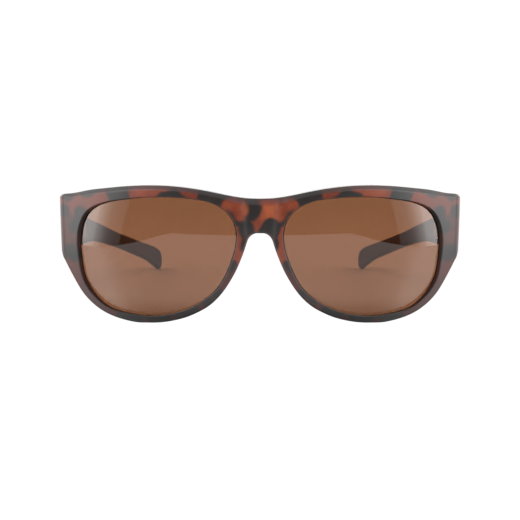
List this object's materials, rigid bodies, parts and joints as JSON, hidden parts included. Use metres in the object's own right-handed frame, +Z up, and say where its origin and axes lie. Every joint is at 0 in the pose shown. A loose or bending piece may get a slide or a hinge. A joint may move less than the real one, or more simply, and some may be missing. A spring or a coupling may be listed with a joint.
{
  "type": "fitover sunglasses",
  "caption": "Wraparound fitover sunglasses: moulded tortoise front, tinted lenses in grooves, and folding temples on metal barrel hinges.",
  "frame": {"origin": "middle of the footprint, on the surface that the rims and the temple tips stand on", "axes": "+X to the viewer's right, +Y from the front back to the temple tips, +Z up; the face looks along -Y"},
  "size_m": [0.146, 0.1468, 0.0501],
  "materials": {
    "frame_plastic": "satin moulded tortoise, dark brown patches in translucent reddish brown",
    "lens_tint": "glossy brown tinted polarised lens",
    "hinge_metal": "nickel silver hinge parts, machined"
  },
  "bodies": {
    "front": {"front_frame": "frame_plastic", "lens_left": "lens_tint", "lens_right": "lens_tint", "front_hinge_leaf_left": "hinge_metal", "front_hinge_leaf_right": "hinge_metal", "hinge_screw_left": "hinge_metal", "hinge_screw_right": "hinge_metal"},
    "temple_arm_left": {"temple_left": "frame_plastic", "temple_hinge_leaf_left": "hinge_metal"},
    "temple_arm_right": {"temple_right": "frame_plastic", "temple_hinge_leaf_right": "hinge_metal"}
  },
  "joints": [
    {"name": "temple_left_fold", "type": "hinge", "parent": "front", "child": "temple_arm_left", "pos_m": [-0.06695, -0.03953, 0.03145], "axis": [0, 0, -1], "range_deg": [0, 87]},
    {"name": "temple_right_fold", "type": "hinge", "parent": "front", "child": "temple_arm_right", "pos_m": [0.06695, -0.03953, 0.03145], "axis": [0, 0, 1], "range_deg": [0, 81]}
  ]
}
